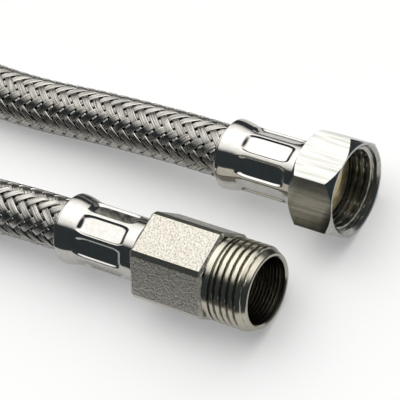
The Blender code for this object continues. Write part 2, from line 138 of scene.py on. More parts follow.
def smooth_line(points, step):
    """Points at even steps along the natural cubic spline through the given points."""
    place = np.array(points, dtype=float)
    gaps = np.linalg.norm(np.diff(place, axis=0), axis=1)
    count = len(place)
    system = np.eye(count)
    known = np.zeros((count, 3))
    for i in range(1, count - 1):
        system[i, i - 1 : i + 2] = gaps[i - 1], 2 * (gaps[i - 1] + gaps[i]), gaps[i]
        after = (place[i + 1] - place[i]) / gaps[i]
        before = (place[i] - place[i - 1]) / gaps[i - 1]
        known[i] = 6 * (after - before)
    bend = np.linalg.solve(system, known)
    fine = []
    for i in range(count - 1):
        for share in np.arange(50) / 50:  # fifty fine points between two given ones
            u = share * gaps[i]
            v = gaps[i] - u
            line = place[i] * v / gaps[i] + place[i + 1] * u / gaps[i]
            curl = bend[i] * (v**3 / gaps[i] - gaps[i] * v)
            curl += bend[i + 1] * (u**3 / gaps[i] - gaps[i] * u)
            fine.append(line + curl / 6)
    fine.append(place[-1])
    fine = np.array(fine)
    run = np.concatenate([[0], np.cumsum(np.linalg.norm(np.diff(fine, axis=0), axis=1))])
    even = np.linspace(0, run[-1], round(run[-1] / step) + 1)
    return even, np.stack([np.interp(even, run, fine[:, k]) for k in range(3)], axis=1)


inside = Vector((INSIDE_LIP, 0, 0))
route = [female_lip + inside, female_lip]
route += [Vector((x, y, REST_Z + z)) for x, y, z in FREE_ROUTE]
route += [male_lip, male_lip + inside]
hose_run, hose_line = smooth_line(route, LINE_STEP)
hose_ahead = np.gradient(hose_line, axis=0)
hose_ahead /= np.linalg.norm(hose_ahead, axis=1)[:, None]
hose_side = np.empty_like(hose_line)
hose_side[0] = (0, -1, 0)
for i in range(1, len(hose_line)):
    kept = hose_side[i - 1] - hose_ahead[i] * np.dot(hose_side[i - 1], hose_ahead[i])
    hose_side[i] = kept / np.linalg.norm(kept)
hose_up = np.cross(hose_ahead, hose_side)


def on_hose(run, turn, radius):
    """Points at a run along the hose, a turn round it and a radius, all arrays."""
    def at(values):
        return np.stack([np.interp(run, hose_run, values[:, k]) for k in range(3)], axis=-1)
    out = at(hose_side) * np.cos(turn)[..., None] + at(hose_up) * np.sin(turn)[..., None]
    return at(hose_line) + out * radius[..., None]


print("hose line:", round(hose_run[-1] / MM, 1), "mm")

# %% [markdown]
# ## Materials
# All the metals are bare or plated, so their colour is what they reflect. One function turns
# a hex colour, as a colour picker gives it, to the linear values that shaders use, and one
# adds a node with its settings and links. A noise scale of 2 / MM means two cells of noise in
# each millimetre, and a bump's distance is its real height.

# %% Material helpers


def linear(hex_colour):
    """#rrggbb in sRGB to linear red, green, blue and alpha."""
    values = [int(hex_colour[i : i + 2], 16) / 255 for i in (1, 3, 5)]
    return (*(v / 12.92 if v <= 0.04045 else ((v + 0.055) / 1.055) ** 2.4 for v in values), 1)


def add_node(tree, kind, inputs=None, **settings):
    """A node of a kind; each input is a value or another node's output to link."""
    node = tree.nodes.new("ShaderNode" + kind)
    for name, value in settings.items():
        setattr(node, name, value)
    for name, value in (inputs or {}).items():
        if isinstance(value, bpy.types.NodeSocket):
            tree.links.new(value, node.inputs[name])
        else:
            node.inputs[name].default_value = value
    return node


def new_material(name):
    """A material with its tree and its Principled shader."""
    material = bpy.data.materials.new(name)
    material.use_nodes = True
    tree = material.node_tree
    return material, tree, tree.nodes["Principled BSDF"]


def object_place(tree, scale=(1, 1, 1)):
    """The point on the piece, in metres, stretched by a Mapping node."""
    texture = add_node(tree, "TexCoord")
    inputs = {"Vector": texture.outputs["Object"], "Scale": scale}
    return add_node(tree, "Mapping", inputs).outputs["Vector"]


def distance_from_axis(tree, centre):
    """How far the point lies from the line along X through a centre, in metres."""
    texture = add_node(tree, "TexCoord")
    inputs = {0: texture.outputs["Object"], 1: (0, centre.y, centre.z)}
    centred = add_node(tree, "VectorMath", inputs, operation="SUBTRACT")
    inputs = {0: centred.outputs["Vector"], 1: (0, 1, 1)}
    across = add_node(tree, "VectorMath", inputs, operation="MULTIPLY")
    length = add_node(tree, "VectorMath", {0: across.outputs["Vector"]}, operation="LENGTH")
    return length.outputs["Value"]


# %% [markdown]
# ### Nickel plating over brass
# The nipple's hexagon keeps the skin of the drawn bar: a fine peppery grain under the plating.
# Grains about 0.3 mm wide are drawn as a bump and as a slight change of colour. The thread, the
# end and the bore were turned on a lathe and are smoother, so a mask along the axis ends the
# grain in front of the hexagon. The bar's narrow edge bands, the only places so far from the
# axis, were rubbed smooth in the die. Nickel is a warmer grey than steel.

# %% Nickel plated bar
MALE_THREAD_LENGTH = 11.7 * MM
HEX_FRONT = MALE_MOUTH.x - MALE_THREAD_LENGTH
EDGE_BAND_R = 11.7 * MM  # only the edge bands lie farther from the axis
TURNED_BUMP = 0.04  # share of the grain's height that the turned places keep


def make_speckled_nickel():
    material, tree, shader = new_material("nickel_plated_drawn_brass")
    place = object_place(tree)
    split = add_node(tree, "SeparateXYZ", {"Vector": place})
    inputs = {0: split.outputs["X"], 1: HEX_FRONT - 0.05 * MM}
    behind = add_node(tree, "Math", inputs, operation="LESS_THAN")
    inputs = {0: distance_from_axis(tree, MALE_MOUTH), 1: EDGE_BAND_R}
    inner = add_node(tree, "Math", inputs, operation="LESS_THAN")
    inputs = {0: behind.outputs["Value"], 1: inner.outputs["Value"]}
    on_bar = add_node(tree, "Math", inputs, operation="MULTIPLY").outputs["Value"]
    inputs = {"Vector": place, "Scale": 1.9 / MM, "Detail": 3, "Roughness": 0.6}
    grain = add_node(tree, "TexNoise", inputs).outputs["Fac"]
    inputs = {"Vector": place, "Scale": 0.26 / MM, "Detail": 2}
    broad = add_node(tree, "TexNoise", inputs).outputs["Fac"]
    ramp = add_node(tree, "ValToRGB", {"Fac": grain})
    ramp.color_ramp.elements[0].position = 0.32
    ramp.color_ramp.elements[0].color = linear("#918d84")
    ramp.color_ramp.elements[1].position = 0.58
    ramp.color_ramp.elements[1].color = linear("#bab6ad")
    inputs = {"Factor": on_bar, "A": linear("#aaa69a"), "B": ramp.outputs["Color"]}
    colour = add_node(tree, "Mix", inputs, data_type="RGBA")
    drawn = add_node(tree, "MapRange", {"Value": broad, "To Min": 0.28, "To Max": 0.38})
    turned_rough = add_node(tree, "MapRange", {"Value": broad, "To Min": 0.15, "To Max": 0.25})
    inputs = {"Factor": on_bar, "A": turned_rough.outputs["Result"], "B": drawn.outputs["Result"]}
    roughness = add_node(tree, "Mix", inputs)
    share = add_node(tree, "Math", {0: on_bar, 1: 1 - TURNED_BUMP}, operation="MULTIPLY")
    strength = add_node(tree, "Math", {0: share.outputs["Value"], 1: TURNED_BUMP}, operation="ADD")
    inputs = {"Height": grain, "Strength": strength.outputs["Value"], "Distance": 0.2 * MM}
    bump = add_node(tree, "Bump", inputs)
    tree.links.new(colour.outputs["Result"], shader.inputs["Base Color"])
    tree.links.new(roughness.outputs["Result"], shader.inputs["Roughness"])
    tree.links.new(bump.outputs["Normal"], shader.inputs["Normal"])
    shader.inputs["Metallic"].default_value = 1
    return material


speckled_nickel = make_speckled_nickel()

# %% [markdown]
# ### Machined and plated nut
# The nut's flats were milled, so faint lines run along them under brighter plating. A noise
# that is stretched along the nut's axis gives lines about 0.7 mm apart.

# %% Machined nickel


def make_machined_nickel():
    material, tree, shader = new_material("nickel_plated_milled_brass")
    along = object_place(tree, scale=(0.06 / MM, 1.5 / MM, 1.5 / MM))
    lines = add_node(tree, "TexNoise", {"Vector": along, "Scale": 1, "Detail": 3, "Roughness": 0.55})
    inputs = {"Vector": object_place(tree), "Scale": 1.3 / MM, "Detail": 4, "Roughness": 0.6}
    wear = add_node(tree, "TexNoise", inputs)
    ramp = add_node(tree, "ValToRGB", {"Fac": lines.outputs["Fac"]})
    ramp.color_ramp.elements[0].position = 0.36
    ramp.color_ramp.elements[0].color = linear("#94948f")
    ramp.color_ramp.elements[1].position = 0.56
    ramp.color_ramp.elements[1].color = linear("#acaca8")
    rough = add_node(tree, "MapRange", {"Value": wear.outputs["Fac"], "To Min": 0.19, "To Max": 0.27})
    inputs = {"Height": lines.outputs["Fac"], "Strength": 0.07, "Distance": 0.03 * MM}
    bump = add_node(tree, "Bump", inputs)
    tree.links.new(ramp.outputs["Color"], shader.inputs["Base Color"])
    tree.links.new(rough.outputs["Result"], shader.inputs["Roughness"])
    tree.links.new(bump.outputs["Normal"], shader.inputs["Normal"])
    shader.inputs["Metallic"].default_value = 1
    return material


machined_nickel = make_machined_nickel()

# %% [markdown]
# ### Polished stainless sheet
# The ferrules are pressed from thin bright sheet. They mirror the studio, with only a trace
# of handling marks in the roughness.

# %% Polished stainless


def make_polished_stainless():
    material, tree, shader = new_material("polished_stainless_sheet")
    inputs = {"Vector": object_place(tree), "Scale": 0.7 / MM, "Detail": 5, "Roughness": 0.65}
    marks = add_node(tree, "TexNoise", inputs)
    ramp = add_node(tree, "ValToRGB", {"Fac": marks.outputs["Fac"]})
    ramp.color_ramp.elements[0].position = 0.3
    ramp.color_ramp.elements[0].color = linear("#a5a39f")
    ramp.color_ramp.elements[1].position = 0.6
    ramp.color_ramp.elements[1].color = linear("#b1afab")
    rough = add_node(tree, "MapRange", {"Value": marks.outputs["Fac"], "To Min": 0.05, "To Max": 0.14})
    inputs = {"Height": marks.outputs["Fac"], "Strength": 0.15, "Distance": 0.03 * MM}
    bump = add_node(tree, "Bump", inputs)
    tree.links.new(ramp.outputs["Color"], shader.inputs["Base Color"])
    tree.links.new(rough.outputs["Result"], shader.inputs["Roughness"])
    tree.links.new(bump.outputs["Normal"], shader.inputs["Normal"])
    shader.inputs["Metallic"].default_value = 1
    return material


polished_stainless = make_polished_stainless()

# %% [markdown]
# ### Bare brass
# The tail is turned brass without plating. Fine rings from the lathe run round its face, so
# the bump follows the distance from its axis.

# %% Turned brass
LATHE_RING = 0.2 * MM


def make_turned_brass():
    material, tree, shader = new_material("turned_brass")
    from_axis = distance_from_axis(tree, FEMALE_MOUTH)
    rings = add_node(tree, "Math", {0: from_axis, 1: 2 * pi / LATHE_RING}, operation="MULTIPLY")
    wave = add_node(tree, "Math", {0: rings.outputs["Value"]}, operation="SINE")
    inputs = {"Vector": object_place(tree), "Scale": 0.5 / MM, "Detail": 4}
    tarnish = add_node(tree, "TexNoise", inputs)
    ramp = add_node(tree, "ValToRGB", {"Fac": tarnish.outputs["Fac"]})
    ramp.color_ramp.elements[0].position = 0.35
    ramp.color_ramp.elements[0].color = linear("#cfbb88")
    ramp.color_ramp.elements[1].position = 0.65
    ramp.color_ramp.elements[1].color = linear("#f3e7c0")
    inputs = {"Height": wave.outputs["Value"], "Strength": 0.3, "Distance": 0.01 * MM}
    bump = add_node(tree, "Bump", inputs)
    tree.links.new(ramp.outputs["Color"], shader.inputs["Base Color"])
    tree.links.new(bump.outputs["Normal"], shader.inputs["Normal"])
    shader.inputs["Metallic"].default_value = 1
    shader.inputs["Roughness"].default_value = 0.42
    return material


turned_brass = make_turned_brass()

# %% [markdown]
# ### Stainless wire and black rubber
# Each strand of the braid is a flat ribbon of fine bright wires. The wires are real grooves
# in the mesh, and the material only changes their colour a little from strand to strand. The
# rubber under them is EPDM, dull and nearly black.

# %% Wire and rubber


def make_stainless_wire():
    material, tree, shader = new_material("drawn_stainless_wire")
    uv = add_node(tree, "UVMap", uv_map="strand")
    inputs = {"Vector": uv.outputs["UV"], "Scale": (3.8 / MM, 0.16 / MM, 1)}
    stretched = add_node(tree, "Mapping", inputs)
    inputs = {"Vector": stretched.outputs["Vector"], "Scale": 1, "Detail": 2}
    streak = add_node(tree, "TexNoise", inputs)
    ramp = add_node(tree, "ValToRGB", {"Fac": streak.outputs["Fac"]})
    ramp.color_ramp.elements[0].position = 0.3
    ramp.color_ramp.elements[0].color = linear("#5e5c58")
    ramp.color_ramp.elements[1].position = 0.66
    ramp.color_ramp.elements[1].color = linear("#b0ada7")
    tree.links.new(ramp.outputs["Color"], shader.inputs["Base Color"])
    shader.inputs["Metallic"].default_value = 1
    shader.inputs["Roughness"].default_value = 0.16
    return material


def make_rubber():
    material, tree, shader = new_material("black_epdm_rubber")
    inputs = {"Vector": object_place(tree), "Scale": 1.5 / MM, "Detail": 3}
    grain = add_node(tree, "TexNoise", inputs)
    inputs = {"Height": grain.outputs["Fac"], "Strength": 0.3, "Distance": 0.04 * MM}
    bump = add_node(tree, "Bump", inputs)
    rough = add_node(tree, "MapRange", {"Value": grain.outputs["Fac"], "To Min": 0.5, "To Max": 0.75})
    tree.links.new(rough.outputs["Result"], shader.inputs["Roughness"])
    tree.links.new(bump.outputs["Normal"], shader.inputs["Normal"])
    shader.inputs["Base Color"].default_value = linear("#141516")
    shader.inputs["Specular IOR Level"].default_value = 0.2
    return material


stainless_wire = make_stainless_wire()
black_rubber = make_rubber()

# %% [markdown]
# ## The braid
# A braiding machine winds flat ribbons of seven wires in both directions, and each ribbon goes
# over two and under two of the others. Every ribbon is built as its own closed strip that
# winds round the hose: its height changes from the upper to the lower layer where it dives
# under, and its top is ridged like the wires that lie side by side in it.

# %% Braid
CARRIERS = 12  # ribbons in each direction
LAY = 43.2 * MM  # the length in which a ribbon goes once round
BRAID_R = 6.26 * MM  # to the wires' tops in the lower layer
WIRES = 7
STRAND_WIDTH = 1.84 * MM
WIRE_RISE = 0.08 * MM  # of a wire's top over the valley beside it
OUTER_WIRE_FALL = 0.04 * MM
EDGE_FALL = 0.24 * MM
LAYER_RISE = 0.42 * MM
DIVE = 0.30  # half the length of a dive, in crossings
BRAID_TURN = radians(16.5)
HOSE_TWIST = radians(26)  # the hose is twisted a little between its ends
BRAID_SHIFT = 0.465  # in crossings
STRANDS_A_PIECE = 6
UV_SHIFT = 7.3 * MM  # sets the strands apart in the wire's texture
braid_unit = LAY / (2 * CARRIERS)  # from one crossing to the next
braid_angle = atan2(2 * pi * BRAID_R, LAY)


def strand_mesh(way, index):
    """Points, strand coordinates and number of rings of one ribbon.

    The way is 1 for a right-handed and -1 for a left-handed ribbon. Steps count crossings
    along the hose, and a ribbon is up for two of them and down for two.
    """
    middle = (0.5 - 2 * index if way > 0 else 1.5 + 2 * index) - BRAID_SHIFT  # of an upper run
    marks = np.array((-1 - DIVE, -1, -1 + DIVE, 0, 1 - DIVE, 1, 1 + DIVE, 2))
    last = hose_run[-1] / braid_unit
    periods = np.arange(-CARRIERS, last / 4 + CARRIERS)
    steps = (middle + 4 * periods[:, None] + marks).ravel()
    steps = np.unique(np.concatenate([[0], steps[(steps > 0.1) & (steps < last - 0.1)], [last]]))
    from_middle = np.abs((steps - middle + 2) % 4 - 2)
    height = np.clip((1 + DIVE - from_middle) / (2 * DIVE), 0, 1)
    height = height * height * (3 - 2 * height)
    across = np.linspace(-STRAND_WIDTH / 2, STRAND_WIDTH / 2, 2 * WIRES + 1)
    ridge = np.where(np.arange(2 * WIRES + 1) % 2 == 1, WIRE_RISE, 0.0)
    ridge[[1, -2]] -= OUTER_WIRE_FALL
    ridge[[0, -1]] -= EDGE_FALL
    run = steps[:, None] * braid_unit - way * sin(braid_angle) * across
    turn = radians(360 / CARRIERS) * index + way * pi * (steps + BRAID_SHIFT) / CARRIERS
    turn = turn[:, None] + cos(braid_angle) * across / BRAID_R
    turn += BRAID_TURN + HOSE_TWIST * run / hose_run[-1]
    radius = BRAID_R - WIRE_RISE + LAYER_RISE * height[:, None] + ridge
    points = on_hose(np.clip(run, 0, hose_run[-1]), turn, radius)
    along = np.broadcast_to(steps[:, None] * braid_unit / cos(braid_angle), run.shape)
    shift = (index + CARRIERS * (way > 0)) * UV_SHIFT
    uv = np.stack([np.broadcast_to(across + shift, run.shape), along], axis=-1)
    return points.reshape(-1, 3), uv.reshape(-1, 2), len(steps)


def braid_piece(name, way, indices):
    """Several ribbons of one direction in one mesh, with creased valleys between wires."""
    wide = 2 * WIRES + 1
    points, uvs, quads, ends = [], [], [], []
    start = 0
    for index in indices:
        strand, uv, rings = strand_mesh(way, index)
        ring = np.arange(rings - 1)[:, None] * wide
        column = np.arange(wide)[None, :]
        beside = (column + 1) % wide
        around = (ring + column, ring + beside, ring + wide + beside, ring + wide + column)
        quad = np.stack(around, axis=-1).reshape(-1, 4) + start
        # a face is split from its first corner, and this start mirrors the left-hand split
        quads.append(np.roll(quad, -1, axis=1) if way > 0 else quad)
        first = np.arange(wide) + start
        last = first + (rings - 1) * wide
        ends += [first[::-1], last]
        points.append(strand)
        uvs.append(uv)
        start += len(strand)
    points, uvs, quads = np.concatenate(points), np.concatenate(uvs), np.concatenate(quads)
    mesh = bpy.data.meshes.new(name)
    mesh.from_pydata(points.tolist(), [], quads.tolist() + [end.tolist() for end in ends])
    corners = np.empty(len(mesh.loops), dtype=np.int32)
    mesh.loops.foreach_get("vertex_index", corners)
    layer = mesh.uv_layers.new(name="strand")
    layer.uv.foreach_set("vector", uvs[corners].astype(np.float32).ravel())
    sides = np.empty(2 * len(mesh.edges), dtype=np.int32)
    mesh.edges.foreach_get("vertices", sides)
    sides = sides.reshape(-1, 2)
    column = sides % wide
    along = (column[:, 0] == column[:, 1]) & (column[:, 0] % 2 == 0)
    mesh.edges.foreach_set("use_edge_sharp", along)
    mesh.polygons.foreach_set("use_smooth", np.ones(len(mesh.polygons), dtype=bool))
    mesh.materials.append(stainless_wire)
    piece = bpy.data.objects.new(name, mesh)
    bpy.context.scene.collection.objects.link(piece)
    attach(piece, "connector")
    print(name, len(quads) * 2, "triangles")
    return piece


for way, word in ((1, "right"), (-1, "left")):
    for half in range(CARRIERS // STRANDS_A_PIECE):
        indices = range(half * STRANDS_A_PIECE, (half + 1) * STRANDS_A_PIECE)
        braid_piece(f"braid_{word}_hand_{half + 1}", way, indices)

# %% [markdown]
# ### The liner
# The rubber hose shows only as black specks where the ribbons cross. It is a plain tube with
# closed ends, swept along the same line.

# %% Liner
LINER_R = 5.85 * MM
LINER_BORE_R = 4.3 * MM


def make_liner():
    """The tube's outer and inner rings of points, joined along the hose and at its ends."""
    sides = 40
    runs = np.linspace(0, hose_run[-1], 150)
    turns = np.linspace(0, 2 * pi, sides, endpoint=False)
    run, turn = np.meshgrid(runs, turns, indexing="ij")
    outer = on_hose(run, turn, np.full(run.shape, LINER_R)).reshape(-1, 3)
    inner = on_hose(run, turn, np.full(run.shape, LINER_BORE_R)).reshape(-1, 3)
    count = len(outer)
    faces = []
    for i in range(len(runs) - 1):
        for k in range(sides):
            a, b = i * sides + k, i * sides + (k + 1) % sides
            faces.append((a, b, b + sides, a + sides))
            faces.append((count + a, count + a + sides, count + b + sides, count + b))
    for k in range(sides):
        b = (k + 1) % sides
        faces.append((k, count + k, count + b, b))
        last = count - sides
        faces.append((last + k, last + b, count + last + b, count + last + k))
    mesh = bpy.data.meshes.new("liner")
    mesh.from_pydata(np.concatenate([outer, inner]).tolist(), [], faces)
    mesh.polygons.foreach_set("use_smooth", np.ones(len(mesh.polygons), dtype=bool))
    mesh.materials.append(black_rubber)
    piece = bpy.data.objects.new("liner", mesh)
    bpy.context.scene.collection.objects.link(piece)
    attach(piece, "connector")
    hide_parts("rubber_liner")
    return piece


liner = make_liner()
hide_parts("wire_braid")

# %% [markdown]
# ## Modelling helpers
# The metal parts are modelled as a turner makes them. A profile is drawn by extruding one
# point, and Spin turns it round the axis. A new primitive is selected all over and the loaded
# CAD nodes are selected too, so everything is deselected first.

# %% Modelling helpers
TURN_STEPS = 144  # faces round a turned piece


def start_piece(name):
    """Name the active object, which a primitive operator has just made."""
    obj = bpy.context.view_layer.objects.active
    obj.name = name
    obj.data.name = name
    return obj


def choose(obj):
    """Make one object the only selected and the active one, in object mode."""
    if bpy.context.mode != "OBJECT":
        bpy.ops.object.mode_set(mode="OBJECT")
    bpy.ops.object.select_all(action="DESELECT")
    obj.select_set(True)
    bpy.context.view_layer.objects.active = obj


def turned(name, profile, centre, steps, closed=False):
    """Spin a profile of (x, radius) points, in metres, round the line along X at centre.

    An open profile starts and ends on the axis, where its poles are merged.
    """
    bpy.ops.object.select_all(action="DESELECT")
    points = [Vector((x, centre.y - radius, centre.z)) for x, radius in profile]
    bpy.ops.mesh.primitive_plane_add(size=MM, location=points[0])
    obj = start_piece(name)
    bpy.ops.object.mode_set(mode="EDIT")
    bpy.ops.mesh.select_mode(type="VERT")
    bpy.ops.mesh.select_all(action="SELECT")
    bpy.ops.mesh.merge(type="CENTER")
    place = points[0]
    for point in points[1:] + ([points[0]] if closed else []):
        bpy.ops.mesh.extrude_region_move(TRANSFORM_OT_translate={"value": point - place})
        place = point
    bpy.ops.mesh.select_all(action="SELECT")
    bpy.ops.mesh.remove_doubles(threshold=0.000001)
    bpy.ops.mesh.select_all(action="SELECT")
    bpy.ops.mesh.spin(steps=steps, angle=2 * pi, center=centre, axis=(1, 0, 0))
    bpy.ops.mesh.select_all(action="SELECT")
    bpy.ops.mesh.remove_doubles(threshold=0.000001)
    bpy.ops.mesh.select_all(action="SELECT")
    bpy.ops.mesh.normals_make_consistent(inside=False)
    bpy.ops.object.mode_set(mode="OBJECT")
    bpy.ops.object.transform_apply(location=True, rotation=True, scale=True)
    return obj


def read_points(obj):
    """The mesh's points as an array."""
    points = np.empty(3 * len(obj.data.vertices), dtype=np.float32)
    obj.data.vertices.foreach_get("co", points)
    return points.reshape(-1, 3).astype(float)


def write_points(obj, points):
    obj.data.vertices.foreach_set("co", points.astype(np.float32).ravel())
    obj.data.update()


def cut(obj, tool, operation="DIFFERENCE"):
    """A Boolean with another object, applied, after which the other object goes."""
    choose(obj)
    boolean = obj.modifiers.new("Boolean", "BOOLEAN")
    boolean.operation = operation
    boolean.solver = "EXACT"
    boolean.object = tool
    bpy.ops.object.modifier_apply(modifier=boolean.name)
    bpy.data.objects.remove(tool, do_unlink=True)


def finish_piece(obj, material, body, node, smooth):
    """Shade, paint and place a finished piece; edges sharper than smooth degrees stay sharp."""
    choose(obj)
    bpy.ops.object.shade_smooth_by_angle(angle=radians(smooth))
    weighted = obj.modifiers.new("Weighted normals", "WEIGHTED_NORMAL")
    weighted.keep_sharp = True
    bpy.ops.object.modifier_apply(modifier=weighted.name)
    obj.data.materials.clear()
    obj.data.materials.append(material)
    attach(obj, body)
    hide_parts(node)
    obj.data.calc_loop_triangles()
    print(obj.name, len(obj.data.loop_triangles), "triangles")


# %% [markdown]
# ## The ferrules
# A ferrule is pressed from thin tube. Its bell swells over the hose and ends in a rolled lip,
# and a crimping tool presses eight long flat windows into it, which hold the hose on the tail.
# The sleeve is turned first, both walls at once. Then its points are moved as the tool does:
# inside each window they go down to a flat floor, with rounded corners and steep walls.

# %% Ferrule shape
LIP_R = 7.15 * MM
BELL_R = 8.78 * MM
CRIMP_R = 7.85 * MM
SHEET = 0.42 * MM
# places along the sleeve, measured from its lip
LIP_BAND = 0.5 * MM
LIP_BEAD = 0.14 * MM
BELL_CREST = 1.5 * MM
BELL_END = 7.9 * MM
SLOPE_START = 6.3 * MM
FLOOR_START = 7.95 * MM
FLOOR_END = 19.05 * MM
SLOPE_END = 20.3 * MM
# the windows
WINDOWS = 8
WINDOW_HALF_ANGLE = radians(19.8)
WINDOW_SIDE_WALL = radians(3.4)
WINDOW_FLOOR_R = 7.0 * MM
CORNER = 1.2  # rounding, in widths of the walls
HALF_WINDOW_ANGLES = (  # degrees from a window's middle, close together at its side wall
    0, 3.5, 7, 10.5, 13.5, 15.4, 16.2, 16.8, 17.4, 18.0, 18.6, 19.2, 19.8, 20.5, 21.2, 21.9, 22.5,
)


def sleeve_radius(along):
    """Outer radius of the unpressed sleeve at a distance from the lip."""
    if along < LIP_BAND:
        return LIP_R + LIP_BEAD * sin(pi * along / LIP_BAND)
    if along < BELL_CREST:
        share = (along - LIP_BAND) / (BELL_CREST - LIP_BAND)
        return LIP_R + (BELL_R - LIP_R) * (1 - cos(share * pi)) / 2
    if along < BELL_END:
        share = (along - BELL_CREST) / (BELL_END - BELL_CREST)
        return BELL_R + (CRIMP_R - BELL_R) * (1 - cos(share * pi)) / 2
    return CRIMP_R


def sleeve_profile(lip_x):
    """Both walls of the sleeve, from the lip's inside round its roll to the far end and back."""
    outer = [0.08 * i for i in range(2, 21)]  # the lip's bead and the start of the bell
    outer += [2.0 + 0.4 * i for i in range(12)]
    outer += [6.6 + 0.16 * i for i in range(9)]  # the slope at the windows' bell end
    outer += [8.2 + 0.6 * i for i in range(18)]
    outer += [18.95 + 0.17 * i for i in range(9)]  # the slope at their other end
    outer += [20.7, 21.4, 22.1, 22.6, 23.0]
    top = [(lip_x + a * MM, sleeve_radius(a * MM)) for a in outer]
    end = lip_x + FERRULE_LENGTH
    rim = [(end - 0.08 * MM, CRIMP_R - 0.02 * MM), (end, CRIMP_R - 0.12 * MM), (end, CRIMP_R - SHEET)]
    inner = [(x, r - SHEET) for x, r in top[::-1]]
    roll_r = SHEET / 2 + 0.02 * MM
    middle = sleeve_radius(0.15 * MM) - SHEET / 2
    roll = []
    for i in range(1, 6):
        angle = pi * i / 6
        roll.append((lip_x + 0.15 * MM - roll_r * sin(angle) * 0.8, middle - roll_r * cos(angle)))
    return top + rim + inner + roll


def press_windows(obj, centre, lip_x, first_window):
    """Move the sleeve's points round and down, as the crimping tool does.

    The spin left them at even steps round the sleeve. Each goes to its place in the table of
    angles first, and then falls by its distance inside the window's rounded outline.
    """
    table = list(HALF_WINDOW_ANGLES) + [45 - a for a in HALF_WINDOW_ANGLES[-2:0:-1]]
    table = np.radians(np.array(table))
    steps = WINDOWS * len(table)
    points = read_points(obj)
    out_y, out_z = centre.y - points[:, 1], points[:, 2] - centre.z
    radius = np.hypot(out_y, out_z)
    number = np.round(np.arctan2(out_z, out_y) % (2 * pi) * steps / (2 * pi)).astype(int) % steps
    window, place = np.divmod(number, len(table))
    from_middle = np.where(table[place] > radians(22.6), table[place] - radians(45), table[place])
    turn = first_window + window * radians(45) + table[place]
    along = points[:, 0] - lip_x
    bell_share = (FLOOR_START - along) / (FLOOR_START - SLOPE_START)
    end_share = np.maximum(bell_share, (along - FLOOR_END) / (SLOPE_END - FLOOR_END))
    side_share = (np.abs(from_middle) - WINDOW_HALF_ANGLE + WINDOW_SIDE_WALL) / WINDOW_SIDE_WALL
    a, b = end_share + CORNER, side_share + CORNER
    away = np.hypot(np.maximum(a, 0), np.maximum(b, 0)) + np.minimum(np.maximum(a, b), 0) - CORNER
    away = np.clip(away, 0, 1)
    pressed = 1 - away * away * (3 - 2 * away)
    outside = np.array([sleeve_radius(max(float(s), 0)) for s in along])
    fall = np.maximum(outside - WINDOW_FLOOR_R / np.cos(from_middle), 0)
    radius = radius - fall * pressed
    points[:, 1] = centre.y - radius * np.cos(turn)
    points[:, 2] = centre.z + radius * np.sin(turn)
    write_points(obj, points)


def make_ferrule(name, centre, end_x, first_window, node):
    """A ferrule whose far end is at end_x and whose first window's middle is at a turn."""
    lip_x = end_x - FERRULE_LENGTH
    steps = WINDOWS * 2 * (len(HALF_WINDOW_ANGLES) - 1)
    sleeve = turned(name, sleeve_profile(lip_x), centre, steps, closed=True)
    press_windows(sleeve, centre, lip_x, first_window)
    finish_piece(sleeve, polished_stainless, "connector", node, smooth=50)


make_ferrule("crimped_ferrule_male", MALE_MOUTH, MALE_FERRULE_END, radians(80), "male_ferrule")
make_ferrule("crimped_ferrule_female", FEMALE_MOUTH, FEMALE_FERRULE_END, radians(91.5), "female_ferrule")

# %% [markdown]
# ## Threads
# G1/2 is a pipe thread with a pitch of 1.814 mm and a flank angle of 55 degrees, rounded at
# crest and root. On a lathe the tool moves along while the bar turns. Here the same happens
# to the points of a turned bar: each goes in or out by its place along the helix.

# %% Threads
PITCH = 1.814 * MM
THREAD_DEPTH = 0.9 * MM
CREST_SHARE = 0.52  # of the pitch
FLANK_SHARE = 0.18
THREAD_FADE = 0.3 * MM  # in which the thread runs in and out


def thread_wave(x, turn, start):
    """From 0 in the root to 1 on the crest of a right-handed thread."""
    share = ((start - x) / PITCH + turn / (2 * pi)) % 1
    slope = np.clip((CREST_SHARE / 2 + FLANK_SHARE - np.abs(share - 0.5)) / FLANK_SHARE, 0, 1)
    return 0.5 * slope + 0.5 * slope * slope * (3 - 2 * slope)


def cut_thread(obj, centre, mouth, begin, end, crest_r, inside=False):
    """Move the points between two distances behind the mouth along the helix."""
    points = read_points(obj)
    out_y, out_z = points[:, 1] - centre.y, points[:, 2] - centre.z
    radius = np.hypot(out_y, out_z)
    behind = mouth - points[:, 0]
    turn = np.arctan2(out_z, out_y)
    wave = thread_wave(points[:, 0], turn, mouth)
    fade = np.clip((behind - begin) / THREAD_FADE, 0, 1) * np.clip((end - behind) / THREAD_FADE, 0, 1)
    threaded = (behind > begin) & (behind < end)
    if inside:
        target = crest_r + THREAD_DEPTH * wave * fade
        changed = np.where(threaded, np.maximum(radius, target), radius)
    else:
        target = crest_r - THREAD_DEPTH * (1 - wave * fade)
        changed = np.where(threaded, np.minimum(radius, target), radius)
    share = np.where(radius > 0, changed / np.maximum(radius, 1e-9), 1)
    points[:, 1] = centre.y + out_y * share
    points[:, 2] = centre.z + out_z * share
    write_points(obj, points)


# %% [markdown]
# ## The barbed stems
# The tail of the nipple and the brass tail both end in a stem with four barbs. The hose is
# pushed over them, and their sharp backs keep it from coming off. They hide in the ferrules.

# %% Barbed stems
COLLAR_R = 7.0 * MM
COLLAR_LAP = 1.5 * MM  # how far the collar goes into the ferrule
STEM_R = 3.7 * MM
BARB_R = 4.0 * MM
BARBS = 4
BARB_PITCH = 4.4 * MM
BARB_SLOPE = 3.18 * MM
TAIL_BORE_R = 3.2 * MM


